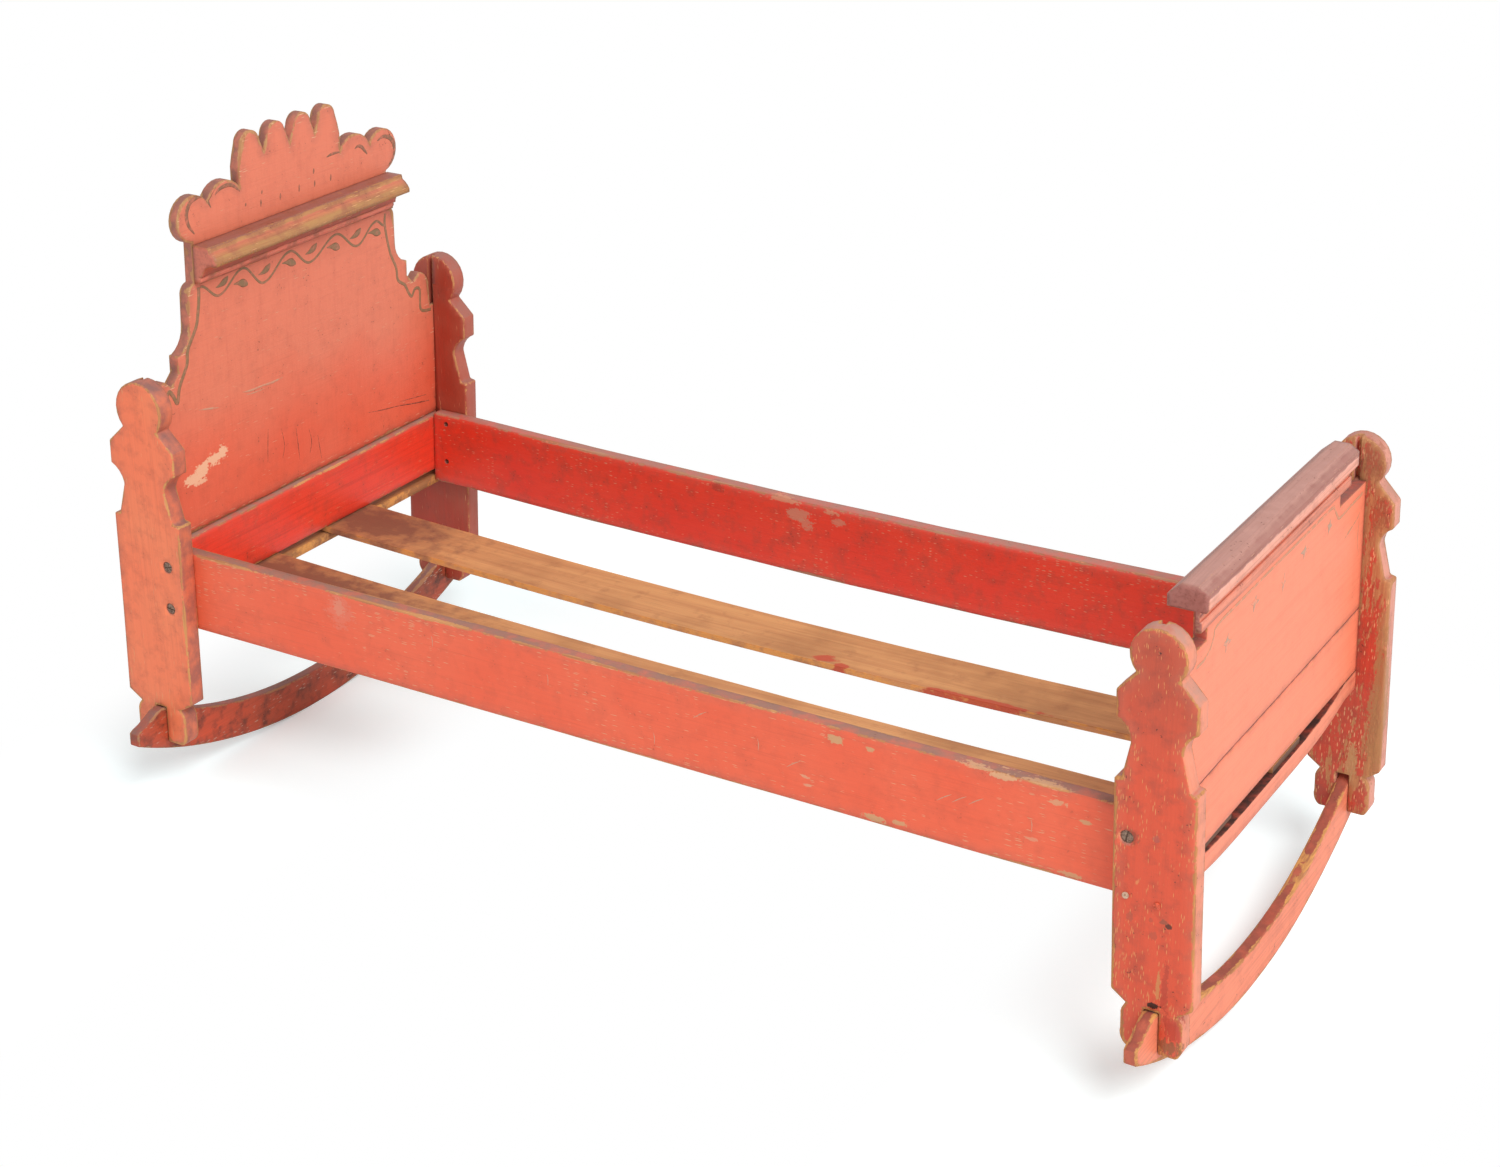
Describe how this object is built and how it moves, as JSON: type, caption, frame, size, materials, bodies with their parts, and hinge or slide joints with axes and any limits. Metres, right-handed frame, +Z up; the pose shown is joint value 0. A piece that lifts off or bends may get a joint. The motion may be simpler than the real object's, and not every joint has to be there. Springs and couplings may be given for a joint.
{
  "type": "rocking doll bed",
  "caption": "Red-painted wooden doll bed on rockers, with a scalloped headboard, sawn corner posts, a capped footboard and loose slats.",
  "frame": {"origin": "on the floor under the middle of the bed", "axes": "+X from the headboard to the footboard, +Y from the near side rail to the far one, +Z up"},
  "size_m": [0.7042, 0.345, 0.3984],
  "materials": {
    "red_painted_wood": "aged oil paint on pine, worn to the wood at the edges",
    "deep_red_painted_wood": "aged oil paint on pine, glossier and less faded inside the bed",
    "bare_pine": "bare pine, darkened with age",
    "rusted_iron": "iron screws and nails with brown rust"
  },
  "bodies": {
    "root": {"headboard_panel": "red_painted_wood", "headboard_crown_moulding": "red_painted_wood", "footboard_panel": "red_painted_wood", "footboard_cap": "red_painted_wood", "footboard_lower_board": "red_painted_wood", "foot_slat_bearer": "red_painted_wood", "head_post_near": "red_painted_wood", "head_post_far": "red_painted_wood", "foot_post_near": "red_painted_wood", "foot_post_far": "red_painted_wood", "side_rail_near": "red_painted_wood", "head_rocker": "red_painted_wood", "foot_rocker": "red_painted_wood", "headboard_lower_board": "deep_red_painted_wood", "side_rail_far": "deep_red_painted_wood", "head_slat_bearer": "bare_pine", "slat_near": "bare_pine", "slat_middle": "bare_pine", "head_screw_near_upper": "rusted_iron", "head_screw_near_lower": "rusted_iron", "head_screw_far_upper": "rusted_iron", "head_screw_far_lower": "rusted_iron", "foot_screw_near": "rusted_iron", "foot_screw_far": "rusted_iron", "foot_rail_nail_near": "rusted_iron", "foot_rail_nail_far": "rusted_iron", "foot_bearer_nail_near": "rusted_iron", "foot_bearer_nail_far": "rusted_iron"}
  },
  "joints": []
}
